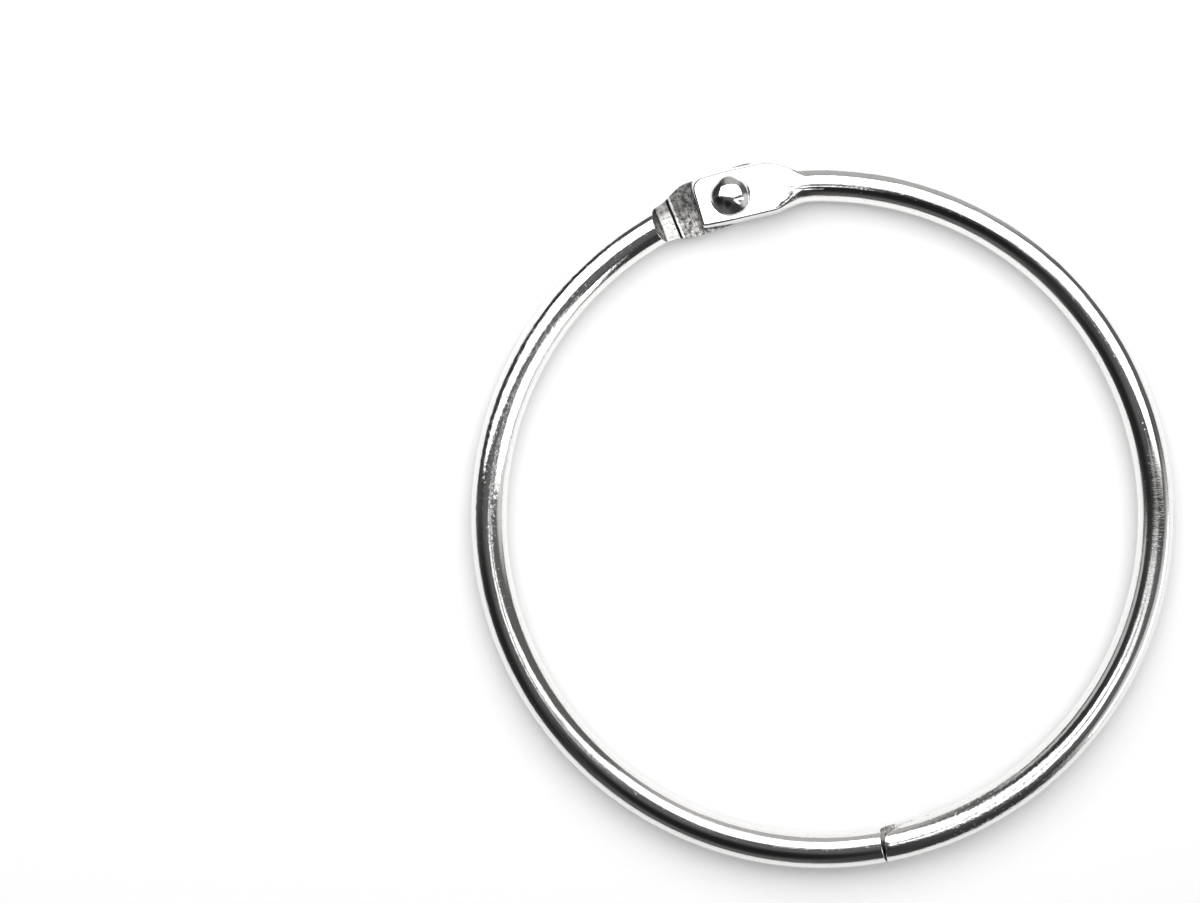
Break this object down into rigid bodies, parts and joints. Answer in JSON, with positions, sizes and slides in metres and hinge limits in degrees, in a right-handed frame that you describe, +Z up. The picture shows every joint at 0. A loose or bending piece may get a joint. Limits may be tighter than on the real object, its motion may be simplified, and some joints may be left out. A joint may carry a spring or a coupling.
{
  "type": "binder ring",
  "caption": "Round wire ring in sprung halves: riveted hinge at one side, hooked clasp at the other, for holding punched sheets.",
  "frame": {"origin": "centre of the ring, at the plane where the two halves lap", "axes": "+Z up through the ring's eye, with the ring lying flat; +Y from the clasp towards the hinge rivet"},
  "size_m": [0.0568, 0.0576, 0.0043],
  "materials": {
    "wire": "bright nickel plate on round steel wire, duller grey on the stamped faces, light rub marks",
    "rivet": "bright nickel plate, softly domed head, peened tail"
  },
  "bodies": {
    "left_half": {"left_half": "wire", "rivet": "rivet"},
    "right_half": {"right_half": "wire"}
  },
  "joints": [
    {"name": "hinge", "type": "hinge", "parent": "left_half", "child": "right_half", "pos_m": [0, 0.027, 0], "axis": [0, 0, 1], "range_deg": [0, 150]}
  ]
}
